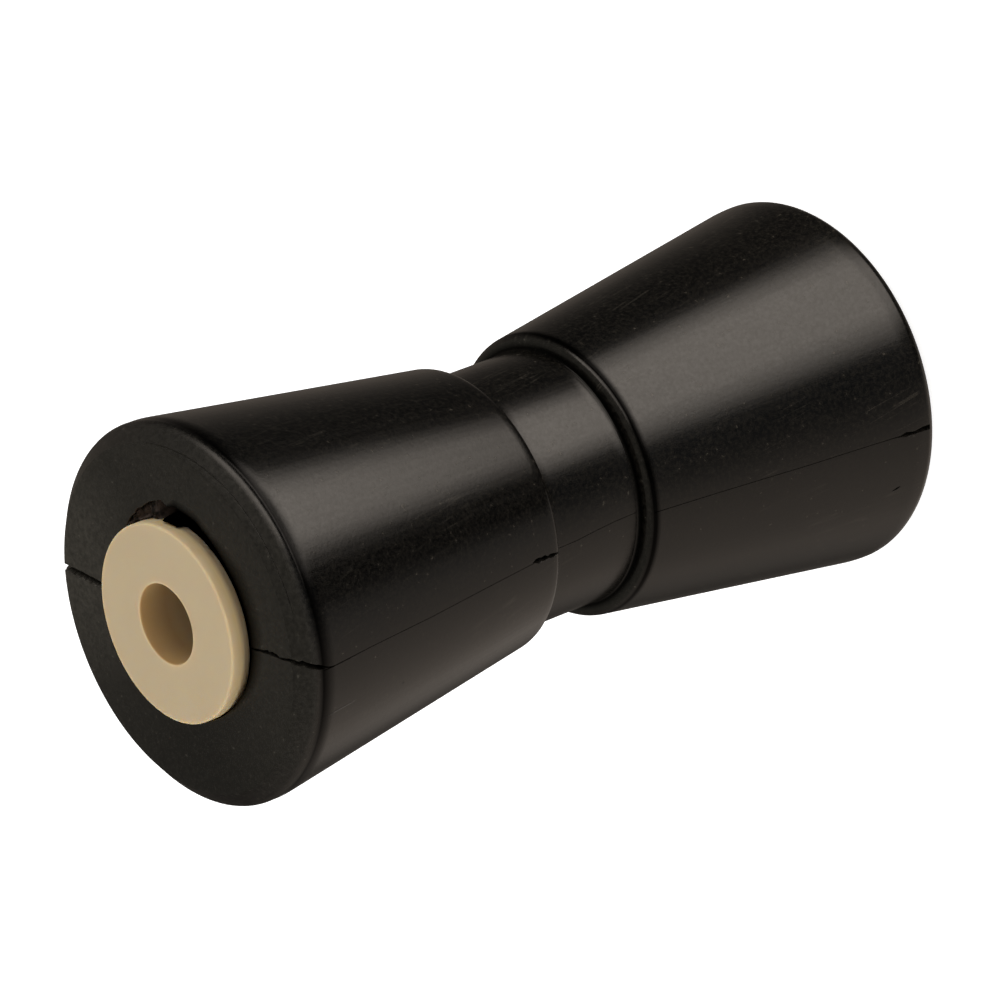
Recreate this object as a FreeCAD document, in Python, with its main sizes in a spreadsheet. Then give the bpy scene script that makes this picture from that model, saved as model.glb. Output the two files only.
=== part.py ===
# A keel roller for a boat trailer: a black rubber hourglass with a flanged nylon bushing in each end.
# All lengths are millimetres. The roller stands on its lower bushing, with its axis along +Z and the
# origin at the middle of that bushing's outer face. The mould's parting plane holds the X axis.
import FreeCAD, Part
import os

import Sketcher

doc = FreeCAD.newDocument("keel_roller")

# Driving dimensions
SIZES = {
    # rubber body
    "roller_length": 203.2,      # rubber alone, from end face to end face
    "large_diameter": 95.4,      # each cone at its end face, before the shoulder is taken off
    "small_diameter": 70.8,      # each cone where it stops at the neck
    "neck_length": 27.8,
    "neck_step": 3.55,           # how far the neck lies below the cones' small ends
    "shoulder_width": 5.2,       # bevel round each end face, measured along the radius
    "shoulder_angle": 41.0,      # bevel's slope away from the end face, in degrees
    "rim_round": 4.0,            # where the bevel meets the cone
    "small_end_round": 2.5,      # the cones' edges beside the neck
    # bushings
    "bore_diameter": 19.8,       # runs on a 19.05 mm (3/4 inch) shaft
    "barrel_wall": 5.0,
    "barrel_length": 44.5,       # from the flange's seat to the barrel's inner end
    "barrel_lead": 1.0,          # chamfer on the barrel's inner end
    "flange_diameter": 48.2,
    "flange_proud": 3.1,         # how far the flange stands out of the rubber
    "flange_sink": 2.0,          # how far it is let into the rubber
    "flange_edge_break": 0.6,    # chamfer round the flange's outer face
    "bore_edge_break": 0.4,      # chamfer round the bore's mouth
    # fits between the rubber and the bushings
    "flange_gap": 0.4,           # open crevice round the flange
    "barrel_clearance": 0.1,
    "barrel_end_gap": 0.5,
    "core_clearance": 0.4,       # the rubber's own hole stands this far back from the shaft bore
    # rubber torn away beside the upper flange
    "tear_angle": 96.5,          # from +X, where the tear reaches furthest, in degrees
    "tear_steep_side": 28.0,     # from there to the tear's ragged end, in degrees
    "tear_long_side": 41.0,      # from there to its tapered end, in degrees
    "tear_reach": 5.0,           # outwards from the flange's recess
    "tear_depth": 3.0,
    # parting line sprung open across the upper end face
    "split_width": 0.6,
    "split_depth": 1.4,
}

sheet = doc.addObject("Spreadsheet::Sheet", "Sizes")
for row, (name, size) in enumerate(SIZES.items(), start=1):
    sheet.set(f"A{row}", name)
    sheet.set(f"B{row}", str(size))
    sheet.setAlias(f"B{row}", name)
doc.recompute()

# Places worked out from the driving dimensions, as expressions on the sheet
HALF_LENGTH = "Sizes.roller_length / 2"
HALF_NECK = "Sizes.neck_length / 2"
LARGE_R = "Sizes.large_diameter / 2"
SMALL_R = "Sizes.small_diameter / 2"
NECK_R = f"({SMALL_R} - Sizes.neck_step)"
FACE_R = f"({LARGE_R} - Sizes.shoulder_width)"
CONE_SLOPE = f"(({LARGE_R} - {SMALL_R}) / ({HALF_LENGTH} - {HALF_NECK}))"
SHOULDER_DROP = f"(Sizes.shoulder_width / (1 / tan(Sizes.shoulder_angle) + {CONE_SLOPE}))"
RIM_R = f"({LARGE_R} - {SHOULDER_DROP} * {CONE_SLOPE})"
BORE_R = "Sizes.bore_diameter / 2"
CORE_R = f"({BORE_R} + Sizes.core_clearance)"
BARREL_R = f"({BORE_R} + Sizes.barrel_wall)"
BARREL_SEAT_R = f"({BARREL_R} + Sizes.barrel_clearance)"
FLANGE_R = "Sizes.flange_diameter / 2"
RECESS_R = f"({FLANGE_R} + Sizes.flange_gap)"
RECESS_FLOOR = f"({HALF_LENGTH} - Sizes.flange_sink)"
SEAT_END = f"({RECESS_FLOOR} - Sizes.barrel_length - Sizes.barrel_end_gap)"
ROLLER_MIDDLE = f"(Sizes.flange_proud + {HALF_LENGTH})"


def number(expression):
    """Value of an expression on the sheet, as a plain number."""
    return float(sheet.evalExpression(expression))


def origin_plane(body, role):
    """One of a body's own origin planes."""
    return next(plane for plane in body.Origin.OriginFeatures if plane.Role == role)


def sketch_on(body, role, name, height=None):
    """New sketch on one of the body's origin planes, lifted by an expression where one is given."""
    sketch = body.newObject("Sketcher::SketchObject", name)
    sketch.AttachmentSupport = (origin_plane(body, role), [""])
    sketch.MapMode = "FlatFace"
    if height:
        sketch.setExpression(".AttachmentOffset.Base.z", height)
    return sketch


def draw_outline(sketch, corners):
    """Closed run of straight lines. Each corner is two expressions: across and up."""
    spots = [FreeCAD.Vector(number(across), number(up), 0) for across, up in corners]
    for start, end in zip(spots, spots[1:] + spots[:1]):
        sketch.addGeometry(Part.LineSegment(start, end), False)
    for line, (across, up) in enumerate(corners):
        before = (line - 1) % len(corners)
        sketch.addConstraint(Sketcher.Constraint("Coincident", before, 2, line, 1))
        last_across, last_up = corners[before]
        if across == last_across:
            sketch.addConstraint(Sketcher.Constraint("Vertical", before))
        else:
            drive(sketch, "DistanceX", line, across)
        if up == last_up:
            sketch.addConstraint(Sketcher.Constraint("Horizontal", before))
        else:
            drive(sketch, "DistanceY", line, up)


def drive(sketch, kind, line, expression):
    """Dimension from the sketch's origin to a line's start, bound to the sheet."""
    constraint = Sketcher.Constraint(kind, -1, 1, line, 1, number(expression))
    index = sketch.addConstraint(constraint)
    sketch.setExpression(f"Constraints[{index}]", expression)


def revolve(body, name, corners):
    """Section in the XZ plane, turned all the way round the Z axis."""
    section = sketch_on(body, "XZ_Plane", name + "_section")
    draw_outline(section, corners)
    turned = body.newObject("PartDesign::Revolution", name)
    turned.Profile = section
    turned.ReferenceAxis = (section, ["V_Axis"])
    turned.Angle = 360.0
    doc.recompute()
    return turned


def ring_edges(feature, radius, heights):
    """Names of the circular edges of one radius at the given heights in the body's own frame."""
    found = []
    for index, edge in enumerate(feature.Shape.Edges, start=1):
        if edge.Curve.TypeId != "Part::GeomCircle":
            continue
        level = min(abs(edge.Curve.Center.z - height) for height in heights)
        if level < 1e-4 and abs(edge.Curve.Radius - radius) < 1e-4:
            found.append(f"Edge{index}")
    return found


def dress(body, kind, name, base, edges, size_property, expression):
    """Fillet or chamfer on chosen edges, with its size bound to the sheet."""
    feature = body.newObject(kind, name)
    feature.Base = (base, edges)
    feature.setExpression(size_property, expression)
    doc.recompute()
    return feature


def both_ends(expression):
    """A height above the roller's middle, and the same height below it."""
    return (number(expression), -number(expression))


# Rubber body: half a section turned round the axis, mirrored at the roller's middle
def make_rubber_roller():
    body = doc.addObject("PartDesign::Body", "rubber_roller")
    body.Label = "rubber_roller"
    half = revolve(body, "half_roller", [
        (CORE_R, SEAT_END),
        (CORE_R, "0"),
        (NECK_R, "0"),
        (NECK_R, HALF_NECK),
        (SMALL_R, HALF_NECK),
        (RIM_R, f"({HALF_LENGTH} - {SHOULDER_DROP})"),
        (FACE_R, HALF_LENGTH),
        (RECESS_R, HALF_LENGTH),
        (RECESS_R, RECESS_FLOOR),
        (BARREL_SEAT_R, RECESS_FLOOR),
        (BARREL_SEAT_R, SEAT_END),
    ])
    whole = body.newObject("PartDesign::Mirrored", "both_halves")
    whole.Originals = [half]
    whole.MirrorPlane = (origin_plane(body, "XY_Plane"), [""])
    body.Tip = whole
    doc.recompute()

    rims = ring_edges(whole, number(RIM_R), both_ends(f"{HALF_LENGTH} - {SHOULDER_DROP}"))
    rim = dress(body, "PartDesign::Fillet", "rims", whole, rims, "Radius",
                "min(Sizes.rim_round; 0.8 * Sizes.shoulder_width)")
    ends = ring_edges(rim, number(SMALL_R), both_ends(HALF_NECK))
    dress(body, "PartDesign::Fillet", "small_ends", rim, ends, "Radius",
          "min(Sizes.small_end_round; 0.9 * Sizes.neck_step)")
    cut_tear(body)
    cut_splits(body)
    body.setExpression(".Placement.Base.z", ROLLER_MIDDLE)
    return body


def cut_from_top(body, name, corners, depth):
    """Pocket of a given depth from the upper end face; stops the script if it takes nothing away."""
    before = body.Shape.Volume
    outline = sketch_on(body, "XY_Plane", name + "_outline", HALF_LENGTH)
    draw_outline(outline, corners)
    pocket = body.newObject("PartDesign::Pocket", name)
    pocket.Profile = outline
    pocket.setExpression("Length", depth)
    doc.recompute()
    if body.Shape.Volume >= before:
        raise RuntimeError(name + " cuts nothing")
    print(name, "takes", round(before - body.Shape.Volume, 1), "mm3")
    return pocket


# The torn edge's outline: share of the side's angle from the furthest point, and share of the reach
TEAR_OUTLINE = (
    (1.00, 0.10), (0.86, 0.42), (0.62, 0.50), (0.46, 0.78), (0.16, 0.86), (0.00, 1.00),
    (-0.12, 0.74), (-0.34, 0.68), (-0.62, 0.42), (-0.84, 0.28), (-1.00, 0.08),
)
# The tear starts this far inside the recess's wall, so that no skin of rubber is left there
TEAR_OVERLAP = 0.2


def cut_tear(body):
    """Rubber torn out between the upper flange's recess and the end face."""
    def spot(share, radius):
        side = "Sizes.tear_steep_side" if share > 0 else "Sizes.tear_long_side"
        angle = f"(Sizes.tear_angle + {share} * {side})"
        return f"{radius} * cos({angle})", f"{radius} * sin({angle})"

    outer = [spot(share, f"({RECESS_R} + {reach} * Sizes.tear_reach)") for share, reach in TEAR_OUTLINE]
    inner = [spot(share, f"({RECESS_R} - {TEAR_OVERLAP})") for share, reach in reversed(TEAR_OUTLINE)]
    cut_from_top(body, "tear", outer + inner, "Sizes.tear_depth")


# The splits' ragged course from the recess to the rim: share of the way out, sideways in millimetres
SPLIT_COURSES = {
    1: ((-0.02, 0.4), (0.22, 0.9), (0.30, 0.2), (0.52, -0.5), (0.70, 0.3), (1.05, 0.6)),
    -1: ((-0.02, -0.3), (0.35, -0.8), (0.62, -0.2), (1.05, 0.3)),
}


def cut_splits(body):
    """The parting line sprung open on both sides of the upper bushing; it runs out on the shoulder."""
    for side, course in SPLIT_COURSES.items():
        def spot(share, sideways, edge):
            across = f"{side} * ({RECESS_R} + {share} * ({LARGE_R} - {RECESS_R}))"
            return across, f"({sideways} + {edge} * Sizes.split_width / 2)"

        near = [spot(share, sideways, -1) for share, sideways in course]
        far = [spot(share, sideways, 1) for share, sideways in reversed(course)]
        name = "split_right" if side > 0 else "split_left"
        cut_from_top(body, name, near + far, "Sizes.split_depth")


# Bushing: a turned section, its seat on the body's own XY plane and its flange above it
def make_bushing(label, flange_up):
    body = doc.addObject("PartDesign::Body", label)
    body.Label = label
    flange_top = "(Sizes.flange_sink + Sizes.flange_proud)"
    barrel_end = "(-Sizes.barrel_length)"
    turned = revolve(body, label + "_turned", [
        (BORE_R, barrel_end),
        (BARREL_R, barrel_end),
        (BARREL_R, "0"),
        (FLANGE_R, "0"),
        (FLANGE_R, flange_top),
        (BORE_R, flange_top),
    ])
    outer = ring_edges(turned, number(FLANGE_R), (number(flange_top),))
    edged = dress(body, "PartDesign::Chamfer", label + "_flange_edge", turned, outer, "Size",
                  "min(Sizes.flange_edge_break; 0.5 * Sizes.flange_proud)")
    mouth = ring_edges(edged, number(BORE_R), (number(flange_top),))
    mouthed = dress(body, "PartDesign::Chamfer", label + "_bore_edge", edged, mouth, "Size",
                    "min(Sizes.bore_edge_break; 0.5 * Sizes.barrel_wall)")
    inner_end = ring_edges(mouthed, number(BARREL_R), (number(barrel_end),))
    dress(body, "PartDesign::Chamfer", label + "_lead", mouthed, inner_end, "Size",
          "min(Sizes.barrel_lead; 0.6 * Sizes.barrel_wall)")
    if flange_up:
        seat = f"{ROLLER_MIDDLE} + {RECESS_FLOOR}"
    else:
        seat = f"{ROLLER_MIDDLE} - {RECESS_FLOOR}"
        body.Placement = FreeCAD.Placement(FreeCAD.Vector(), FreeCAD.Rotation(FreeCAD.Vector(1, 0, 0), 180))
    body.setExpression(".Placement.Base.z", seat)
    return body


pieces = [
    make_rubber_roller(),
    make_bushing("upper_bushing", flange_up=True),
    make_bushing("lower_bushing", flange_up=False),
]
doc.recompute()

# Nothing is written unless every object and every solid is sound
for thing in doc.Objects:
    if "Invalid" in thing.State or "Error" in thing.State:
        raise RuntimeError(f"{thing.Name} failed: {thing.State}")
for piece in pieces:
    if piece.Shape.isNull() or not piece.Shape.isValid() or len(piece.Shape.Solids) != 1:
        raise RuntimeError(f"{piece.Label} is not one valid solid")

os.makedirs("parts", exist_ok=True)
for piece in pieces:
    piece.Shape.exportStep(f"parts/{piece.Label}.step")
    box = piece.Shape.optimalBoundingBox(False)
    print(f"{piece.Label}: {piece.Shape.Volume / 1000:.2f} cm3,",
          f"{box.XLength:.2f} x {box.YLength:.2f} x {box.ZLength:.2f} mm, z {box.ZMin:.2f} to {box.ZMax:.2f}")
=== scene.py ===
# %% [markdown]
# # A keel roller for a boat trailer
# A black rubber hourglass carries the boat's keel, and a flanged nylon bushing is pressed into each end
# of it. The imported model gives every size, so this file only dresses it: a finely turned rubber body
# with its mould line and its damage, turned bushings, their finishes, and a small studio.

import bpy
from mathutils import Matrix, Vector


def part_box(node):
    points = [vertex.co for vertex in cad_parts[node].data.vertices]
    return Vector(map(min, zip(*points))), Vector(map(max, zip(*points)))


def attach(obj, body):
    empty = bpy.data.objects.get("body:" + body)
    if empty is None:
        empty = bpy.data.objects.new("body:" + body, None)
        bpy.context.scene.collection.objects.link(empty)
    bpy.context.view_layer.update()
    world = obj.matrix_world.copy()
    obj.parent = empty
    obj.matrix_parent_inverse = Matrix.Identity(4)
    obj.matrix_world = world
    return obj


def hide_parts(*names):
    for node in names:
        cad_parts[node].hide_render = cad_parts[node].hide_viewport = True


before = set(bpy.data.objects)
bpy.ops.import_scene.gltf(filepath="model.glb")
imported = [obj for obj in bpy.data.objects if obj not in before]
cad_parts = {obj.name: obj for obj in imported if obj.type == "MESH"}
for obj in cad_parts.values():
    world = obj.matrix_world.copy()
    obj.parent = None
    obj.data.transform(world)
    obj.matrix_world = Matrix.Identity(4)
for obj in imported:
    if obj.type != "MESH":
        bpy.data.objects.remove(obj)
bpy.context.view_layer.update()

# %% [markdown]
# Blender works in metres, and a roller is easier to think of in millimetres, so one constant turns
# one into the other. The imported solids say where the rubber's middle is and how far its end faces are
# from there. Reading them from the boxes keeps this file right if the solids move.

# %% Measures shared by all pieces
import math

import bmesh
import bpy
import numpy as np
from mathutils import Quaternion, Vector, noise

MM = 0.001
SMOOTH_ANGLE = math.radians(38)  # edges sharper than this stay sharp
rubber_low, rubber_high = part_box("rubber_roller")
middle = (rubber_low.z + rubber_high.z) / 2
half_length = (rubber_high.z - rubber_low.z) / 2
print("rubber's middle", round(middle, 4), "half length", round(half_length, 4))

# %% [markdown]
# ## The camera
# The photograph was taken with a long lens from above one end, and with the roller lying down. In
# this file the roller stands on its lower bushing, so the same picture needs a camera that leans far
# to one side. Azimuth, elevation and distance place it, and a roll about its own line of sight then
# turns the roller the way it lies in the picture. A long lens keeps both cones nearly the same size.

# %% Camera
CAMERA_AZIMUTH = math.radians(29.27)
CAMERA_ELEVATION = math.radians(36.442)
CAMERA_DISTANCE = 1.4113
CAMERA_ROLL = math.radians(110.99)
AIM = Vector((-0.723, -1.349, 1.754)) * MM
LENS = 210.85

toward_camera = Vector((
    math.cos(CAMERA_ELEVATION) * math.cos(CAMERA_AZIMUTH),
    math.cos(CAMERA_ELEVATION) * math.sin(CAMERA_AZIMUTH),
    math.sin(CAMERA_ELEVATION),
))
camera_place = Vector((0, 0, middle)) + CAMERA_DISTANCE * toward_camera
aim_point = Vector((0, 0, middle)) + AIM
bpy.ops.object.select_all(action="DESELECT")
bpy.ops.object.camera_add(location=camera_place)
camera = bpy.context.object
camera.name = "catalogue_camera"
camera.rotation_mode = "QUATERNION"
level_look = (aim_point - camera_place).to_track_quat("-Z", "Y")
camera.rotation_quaternion = level_look @ Quaternion((0, 0, 1), -CAMERA_ROLL)
camera.data.sensor_width = 36
camera.data.lens = LENS
camera.data.clip_end = 20
bpy.context.scene.camera = camera
print("camera at", [round(v, 3) for v in camera_place])

# %% [markdown]
# ## Drawing a turned piece
# All three pieces are turned: rubber out of a round mould, bushings off a lathe. The natural way to
# model such a thing is to draw half of its section as a line of edges and to spin that line round the
# axis. The helpers below do what a hand does in edit mode: put down one vertex, extrude it from corner
# to corner, and bevel the corners that are rounded on the real piece.

# %% Helpers for a section
def start_section(name, radius, height):
    """New object in edit mode with one selected vertex at the section's first point (mm)."""
    bpy.ops.object.select_all(action="DESELECT")
    bpy.ops.mesh.primitive_plane_add(size=MM)
    piece = bpy.context.object
    piece.name = name
    piece.data.name = name
    bpy.ops.object.mode_set(mode="EDIT")
    bpy.ops.mesh.select_all(action="SELECT")
    bpy.ops.mesh.merge(type="CENTER")
    bpy.ops.transform.translate(value=(radius * MM, 0, height * MM))
    return piece


def draw_to(corners, start):
    """Extrude the vertex from point to point; each corner is radius, height and number of edges."""
    here = Vector((start[0], 0, start[1]))
    for radius, height, edges in corners:
        step = (Vector((radius, 0, height)) - here) / edges
        for _ in range(edges):
            bpy.ops.mesh.extrude_vertices_move(TRANSFORM_OT_translate={"value": step * MM})
        here = Vector((radius, 0, height))


def round_corner(piece, radius, height, turn, rounding, segments):
    """Round one corner of the section; turn is how far its line turns there, in degrees."""
    corner = Vector((radius, 0, height)) * MM
    section = bmesh.from_edit_mesh(piece.data)
    for vertex in section.verts:
        vertex.select = (vertex.co - corner).length < 0.01 * MM
    section.select_flush_mode()
    bmesh.update_edit_mesh(piece.data)
    setback = rounding * math.tan(math.radians(turn) / 2) * MM
    bpy.ops.mesh.bevel(offset=setback, offset_type="OFFSET", segments=segments, affect="VERTICES")


def spin_section(steps):
    """Turn the whole section round the Z axis, close it and point its faces outwards."""
    bpy.ops.mesh.select_all(action="SELECT")
    bpy.ops.mesh.spin(steps=steps, angle=2 * math.pi, center=(0, 0, 0), axis=(0, 0, 1))
    bpy.ops.mesh.select_all(action="SELECT")
    bpy.ops.mesh.remove_doubles(threshold=0.001 * MM)
    bpy.ops.mesh.normals_make_consistent(inside=False)


# %% [markdown]
# ## The rubber body
# The section goes up the rubber's own hole, round the seat of the bushing and its recess, over the end
# face, down the bevelled shoulder and the long cone, and into the neck. Only the upper half is drawn.
# A Mirror modifier makes the other half, because the mould has two equal ends. The rings near the
# recess are close together, so that the torn edge there can be shaped later.

# %% Section of the rubber body
CORE_R = 10.3
SEAT_R = 15.0
RECESS_R = 24.5
FACE_R = 42.5
RIM_R = 46.845
SMALL_R = 35.55
NECK_R = 32.0
FACE = half_length / MM
RECESS_FLOOR = FACE - 2.0
SEAT_END = FACE - 47.0
RIM = FACE - 3.777
CROWN = FACE - 7.13
NECK_HALF = 13.9
SPIN_STEPS = 320

rubber = start_section("rubber_body", CORE_R, 0)
draw_to([
    (CORE_R, SEAT_END, 1),
    (SEAT_R, SEAT_END, 1),
    (SEAT_R, RECESS_FLOOR, 1),
    (23.5, RECESS_FLOOR, 2),
    (RECESS_R, RECESS_FLOOR, 8),
    (RECESS_R, FACE, 4),
    (31.5, FACE, 14),
    (FACE_R, FACE, 6),
    (RIM_R, RIM, 2),
    (RIM_R, CROWN, 1),
    (46.0, FACE - 13.16, 2),
    (SMALL_R, NECK_HALF, 20),
    (NECK_R, NECK_HALF, 1),
    (NECK_R, 0, 4),
], start=(CORE_R, 0))
round_corner(rubber, RECESS_R, FACE, 90, 0.3, 3)
round_corner(rubber, FACE_R, FACE, 41, 0.6, 3)
round_corner(rubber, RIM_R, RIM, 49, 3.2, 9)
round_corner(rubber, RIM_R, CROWN, 7.98, 27, 8)
round_corner(rubber, SMALL_R, NECK_HALF, 82, 2.5, 6)
round_corner(rubber, NECK_R, NECK_HALF, 90, 0.9, 4)
bpy.ops.object.mode_set(mode="OBJECT")
print("half section has", len(rubber.data.vertices), "points")

# %% Mirror the section and spin it
other_half = rubber.modifiers.new("other_half", "MIRROR")
other_half.use_axis = (False, False, True)
other_half.merge_threshold = 0.01 * MM
bpy.ops.object.modifier_apply(modifier="other_half")
bpy.ops.object.mode_set(mode="EDIT")
spin_section(SPIN_STEPS)
bpy.ops.transform.translate(value=(0, 0, middle))
bpy.ops.object.mode_set(mode="OBJECT")
print("rubber body has", len(rubber.data.polygons), "faces")

# %% [markdown]
# ## The open side of the recess
# On the real roller the rubber has been pushed and torn away from one side of the bushing's flange. The
# crevice is closed on one side and several millimetres wide on the other. The rings of the recess are
# moved outwards here by an amount that depends on the angle, the face's rings are squeezed together
# outside them, and the floor of the open stretch is sunk. The course is ragged where the rubber tore.

# %% Helpers for moving a mesh's points
def read_points(piece):
    """All vertex places of a piece, as an array with one row for each."""
    points = np.empty(len(piece.data.vertices) * 3)
    piece.data.vertices.foreach_get("co", points)
    return points.reshape(-1, 3)


def write_points(piece, points):
    """Put changed places back into a piece's mesh."""
    piece.data.vertices.foreach_set("co", points.ravel())
    piece.data.update()


def smooth_share(values, start, end):
    """0 before start, 1 after end, and a soft step between them."""
    share = np.clip((values - start) / (end - start), 0, 1)
    return share * share * (3 - 2 * share)


# %% Widen the recess on its open side
# Angle round the axis in degrees from +X, and how far the wall stands back there, in mm
GAP_COURSE = (
    (-180, 0), (-60, 0), (-45, 0.3), (-30, 1.0), (-15, 2.1), (0, 3.0), (15, 3.6), (30, 3.8), (45, 3.7),
    (58, 4.1), (66, 4.4), (71, 4.8), (75, 4.6), (82, 4.5), (85, 4.6), (89, 4.1), (92, 3.7), (93.5, 4.3),
    (95, 4.9), (97, 4.8), (100, 4.4), (106, 3.9), (109, 3.4), (112.5, 2.8), (116, 2.8), (118, 2.6),
    (119.5, 2.0), (123, 1.8), (127, 1.4), (131, 0.8), (136, 0), (180, 0),
)
SQUEEZE_R = 36.0  # the face's rings are squeezed inside this radius and stay as they are outside it
FLOOR_R = 23.5  # where the recess floor starts to stretch
EXTRA_DEPTH = 5.0  # how much deeper the floor lies where the gap is widest
top_face = middle + half_length

points = read_points(rubber)
radius = np.hypot(points[:, 0], points[:, 1]) / MM
angle = np.degrees(np.arctan2(points[:, 1], points[:, 0]))
gap_angles, gap_widths = zip(*GAP_COURSE)
gap = np.interp(angle, gap_angles, gap_widths)
below_face = (top_face - points[:, 2]) / MM

upper_end = below_face < 2.2
floor = upper_end & (radius >= FLOOR_R) & (radius < RECESS_R - 1e-3) & (below_face > 1.9)
outside = upper_end & (radius >= RECESS_R - 1e-3) & (radius < SQUEEZE_R)
new_radius = radius.copy()
new_radius[floor] += (radius[floor] - FLOOR_R) / (RECESS_R - FLOOR_R) * gap[floor]
squeeze = (SQUEEZE_R - RECESS_R - gap) / (SQUEEZE_R - RECESS_R)
new_radius[outside] = SQUEEZE_R - (SQUEEZE_R - radius[outside]) * squeeze[outside]
stretch = new_radius / np.maximum(radius, 1e-6)
points[:, 0] *= stretch
points[:, 1] *= stretch

openness = gap / max(gap_widths)
deep = floor | (upper_end & (np.abs(radius - RECESS_R) < 0.35))
sunk = smooth_share(new_radius, 24.3, 25.5) * EXTRA_DEPTH * openness * smooth_share(below_face, 0.5, 2.0)
points[:, 2] -= np.where(deep, sunk, 0) * MM
write_points(rubber, points)
print("widest gap beside the flange", round(float(gap.max()), 2), "mm")

# %% [markdown]
# Behind the upper rim the rubber sank a little as it cooled. That shallow ring is only about a tenth of a
# millimetre deep, but it makes the rim stand out as a lip, because a glossy skin shows every change of
# slope.

# %% Sink the ring behind the upper rim
# How deep it is, how far below the end face it lies, and how far it spreads each way, in mm
HOLLOW_DEPTH, HOLLOW_AT, HOLLOW_SPREAD = 0.12, 5.7, 1.1

points = read_points(rubber)
radius = np.hypot(points[:, 0], points[:, 1]) / MM
below_face = (top_face - points[:, 2]) / MM
hollow = HOLLOW_DEPTH * np.exp(-((below_face - HOLLOW_AT) / HOLLOW_SPREAD) ** 2)
hollow[(radius < FACE_R) | (below_face > 12)] = 0
points[:, :2] *= (1 - hollow / radius)[:, None]
write_points(rubber, points)
print("hollow behind the rim", round(float(hollow.max()), 3), "mm deep")

# %% [markdown]
# ## Torn rubber
# At one end of the open gap the rubber wasn't cut but ripped, and lumps of it still hang there, browner
# and lighter than the black gap beside them. The faces of that patch are subdivided to give crumbs
# something to stand on, and their points are lifted by layered noise. The noise is read at each point's
# own place, so the crumbs come out the same each time.

# %% Lift the torn lumps
# Angles in degrees; the finer faces start at PATCH_FROM, where the first sliver stands
PATCH_FROM = 54.0
TORN_FROM, TORN_TO = 98.0, 137.0
PATCH_INNER_R, PATCH_OUTER_R, PATCH_DEPTH = 23.4, 31.5, 7.2


def in_torn_patch(centre):
    """True for a face on the gap's floor, wall or edge, in the ragged stretch."""
    out = math.hypot(centre.x, centre.y) / MM
    turn = math.degrees(math.atan2(centre.y, centre.x))
    drop = (top_face - centre.z) / MM
    in_ring = PATCH_INNER_R < out < PATCH_OUTER_R and drop < PATCH_DEPTH
    return in_ring and PATCH_FROM - 4 < turn < TORN_TO + 4


bpy.ops.object.mode_set(mode="EDIT")
bpy.ops.mesh.select_all(action="DESELECT")
bpy.ops.mesh.select_mode(type="FACE")
torn = bmesh.from_edit_mesh(rubber.data)
for face in torn.faces:
    face.select = in_torn_patch(face.calc_center_median())
bmesh.update_edit_mesh(rubber.data)
bpy.ops.mesh.subdivide(number_cuts=1, smoothness=0)
bpy.ops.mesh.select_mode(type="VERT")
bpy.ops.object.mode_set(mode="OBJECT")

points = read_points(rubber)
radius = np.hypot(points[:, 0], points[:, 1]) / MM
angle = np.degrees(np.arctan2(points[:, 1], points[:, 0]))
drop = (top_face - points[:, 2]) / MM
gap = np.interp(angle, gap_angles, gap_widths)
across = (radius - RECESS_R) / np.maximum(gap, 0.3)
along = smooth_share(angle, TORN_FROM, TORN_FROM + 3) * (1 - smooth_share(angle, TORN_TO - 4, TORN_TO))
patch = (along > 0) & (drop > 0.05) & (drop < 7) & (radius > 23.6) & (across < 1.3)
lifted = 0
for index in np.nonzero(patch)[0]:
    place = Vector(points[index]) / MM
    lumps = noise.noise(place * 0.45) + 0.35 * noise.noise(place * 1.1) + 0.12 * noise.noise(place * 2.4)
    top = 0.75 + 1.30 * lumps + 1.6 * max(0.0, across[index] - 0.82)
    target = drop[index] + (max(top, 0.12) - drop[index]) * along[index]
    points[index, 2] = top_face - min(target, drop[index]) * MM
    lifted += 1
write_points(rubber, points)
print("torn patch moves", lifted, "points")

# %% [markdown]
# Two slivers of rubber also stayed behind beside the flange when the rest came away. Each is a ridge on
# the gap's floor: a hump across, with a crest that noise makes ragged.

# %% Raise the slivers
# From and to angle, radius and half width across, and height of the crest above the face, in mm
SLIVERS = ((79, 97, 25.0, 0.55, 0.8), (54, 63, 26.2, 1.0, -0.5))

raised = 0
for start, end, sliver_r, half_width, crest in SLIVERS:
    along = smooth_share(angle, start, start + 3) * (1 - smooth_share(angle, end - 3, end))
    hump = np.clip(1 - ((radius - sliver_r) / half_width) ** 2, 0, 1) ** 0.5 * along
    for index in np.nonzero((hump > 0.05) & (radius > 24.5) & (drop > 0.5))[0]:
        ragged = crest + 0.6 * noise.noise(Vector(points[index]) / MM * 1.2)
        points[index, 2] += hump[index] * (drop[index] + ragged) * MM
        raised += 1
write_points(rubber, points)
print("slivers move", raised, "points")

# %% [markdown]
# ## Mould line, cracks and nicks
# The body was moulded in two halves, and their joint shows as a fine dark line along both sides. On the
# end face that joint has sprung open into a ragged crack on each side of the bushing, and there are small
# nicks on the cones. All of them are thin wedges taken out of the rubber. Each wedge is a triangle
# extruded from station to station along its own course, and a Boolean modifier then cuts it out. They
# are cut one after another, because some of them cross. The surface that they follow is read back from
# the mesh.

# %% Read the outline of the side
column = read_points(rubber) / MM
column[:, 2] -= middle / MM
column_r = np.hypot(column[:, 0], column[:, 1])
on_outline = (np.abs(column[:, 1]) < 0.01) & (column[:, 0] < 0) & (column[:, 2] > -0.01)
on_outline &= (column_r > NECK_R - 0.01) & ((column[:, 2] < FACE - 0.001) | (column_r > FACE_R - 0.7))
order = np.lexsort((column_r[on_outline], column[on_outline, 2]))
outline_heights = column[on_outline, 2][order]
outline_radii = column_r[on_outline][order]
print("outline has", len(order), "points")


# %% Places on the surface
def surface_radius(height):
    """Radius of the rubber's side at a height from its middle, in mm."""
    return float(np.interp(abs(height), outline_heights, outline_radii))


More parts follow.
